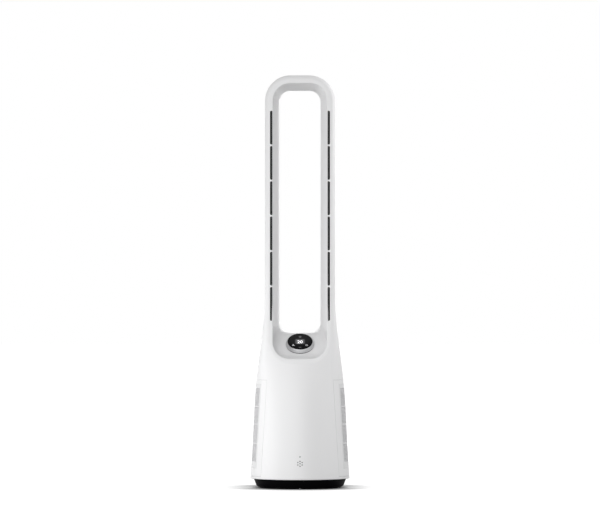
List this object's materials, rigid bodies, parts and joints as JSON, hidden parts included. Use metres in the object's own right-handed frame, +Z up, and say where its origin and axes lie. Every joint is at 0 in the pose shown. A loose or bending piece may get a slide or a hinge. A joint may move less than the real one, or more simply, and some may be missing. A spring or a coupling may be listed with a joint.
{
  "type": "bladeless fan",
  "caption": "Slim bladeless tower fan: hollow loop with front outlet slots on a flared body with side intake covers, a tilted dial and a swivelling base.",
  "frame": {"origin": "on the floor under the middle of the round base", "axes": "+Z up along the swivel axis, -Y towards the front with the dial, +X to the right seen from the front"},
  "size_m": [0.2286, 0.2279, 0.95],
  "materials": {
    "white_shell": "satin white",
    "grille": "fine matt light grey",
    "black_nozzle": "matt",
    "black_base": "satin black",
    "rubber": "matt",
    "steel": "turned",
    "grey_plastic": "moulded",
    "dark_plastic": "fine texture",
    "lead_jacket": "smooth",
    "motor_can": "zinc",
    "lamination": "stamped",
    "copper": "enamelled wire",
    "bezel": "satin silver",
    "display_glass": "gloss black",
    "light_guide": "frosted",
    "board": "solder mask",
    "sensor_can": "mesh-topped can",
    "filter_frame": "moulded",
    "filter_media": "pleated fleece"
  },
  "bodies": {
    "base": {"base_shell": "black_base", "base_bottom_cover": "black_base", "base_weight": "steel", "base_screws": "steel", "rubber_feet": "rubber", "mains_inlet": "dark_plastic", "inlet_lead": "lead_jacket", "pivot_bush": "grey_plastic", "lower_race": "steel", "swivel_gear": "grey_plastic"},
    "bearing": {"bearing_balls": "steel", "bearing_cage": "grey_plastic"},
    "tower": {"front_shell": "white_shell", "rear_shell": "white_shell", "nozzle_left": "black_nozzle", "nozzle_right": "black_nozzle", "upper_race": "steel", "swivel_motor": "motor_can", "turntable": "grey_plastic", "pivot_retainer": "steel", "tower_screws": "steel", "intake_frame_left": "grey_plastic", "intake_frame_right": "grey_plastic", "fan_deck": "grey_plastic", "deck_gasket": "rubber", "fan_housing": "grey_plastic", "dampers": "rubber", "inlet_bell": "grey_plastic", "diffuser": "grey_plastic", "motor_bracket": "motor_can", "motor_stator": "lamination", "motor_windings": "copper", "motor_bearings": "steel", "dial_housing": "dark_plastic", "dial_retainer": "steel", "dial_glass": "display_glass", "light_guide": "light_guide", "display_board": "board", "main_board": "board", "board_posts": "grey_plastic", "sensor_board": "board", "air_sensor": "sensor_can", "supply_lead": "lead_jacket", "motor_lead": "lead_jacket", "display_lead": "lead_jacket"},
    "rotor": {"impeller": "grey_plastic", "impeller_nut": "grey_plastic", "rotor_bell": "steel", "rotor_magnets": "lamination", "motor_shaft": "steel"},
    "pinion": {"drive_pinion": "grey_plastic"},
    "dial": {"dial_ring": "bezel"},
    "cover_left": {"cover_left": "white_shell", "grille_left": "grille"},
    "cover_right": {"cover_right": "white_shell", "grille_right": "grille"},
    "filter_left": {"filter_frame_left": "filter_frame", "filter_media_left": "filter_media"},
    "filter_right": {"filter_frame_right": "filter_frame", "filter_media_right": "filter_media"}
  },
  "joints": [
    {"name": "swivel", "type": "hinge", "parent": "base", "child": "tower", "pos_m": [0, 0, 0.025], "axis": [0, 0, 1], "range_deg": [-40, 40]},
    {"name": "ball_cage_turn", "type": "hinge", "parent": "base", "child": "bearing", "pos_m": [0, 0, 0.025], "axis": [0, 0, 1], "range_deg": [-21, 21]},
    {"name": "pinion_turn", "type": "hinge", "parent": "tower", "child": "pinion", "pos_m": [0, 0.036, 0.025], "axis": [0, 0, 1], "range_deg": [-165, 165]},
    {"name": "fan_spin", "type": "hinge", "parent": "tower", "child": "rotor", "pos_m": [0, 0, 0.18], "axis": [0, 0, 1], "continuous": true},
    {"name": "dial_turn", "type": "hinge", "parent": "tower", "child": "dial", "pos_m": [0, -0.012, 0.3292], "axis": [0, -0.628, 0.7782], "continuous": true},
    {"name": "cover_left_slide", "type": "slide", "parent": "tower", "child": "cover_left", "axis": [-1, 0, 0], "range_m": [0, 0.12]},
    {"name": "cover_right_slide", "type": "slide", "parent": "tower", "child": "cover_right", "axis": [1, 0, 0], "range_m": [0, 0.12]},
    {"name": "filter_left_slide", "type": "slide", "parent": "tower", "child": "filter_left", "axis": [-1, 0, 0], "range_m": [0, 0.061]},
    {"name": "filter_right_slide", "type": "slide", "parent": "tower", "child": "filter_right", "axis": [1, 0, 0], "range_m": [0, 0.061]}
  ],
  "couplings": [
    {"joint": "ball_cage_turn", "follows": "swivel", "ratio": 0.5},
    {"joint": "pinion_turn", "follows": "swivel", "ratio": 4},
    {"joint": "filter_left_slide", "follows": "cover_left_slide", "ratio": 0.5},
    {"joint": "filter_right_slide", "follows": "cover_right_slide", "ratio": 0.5}
  ]
}
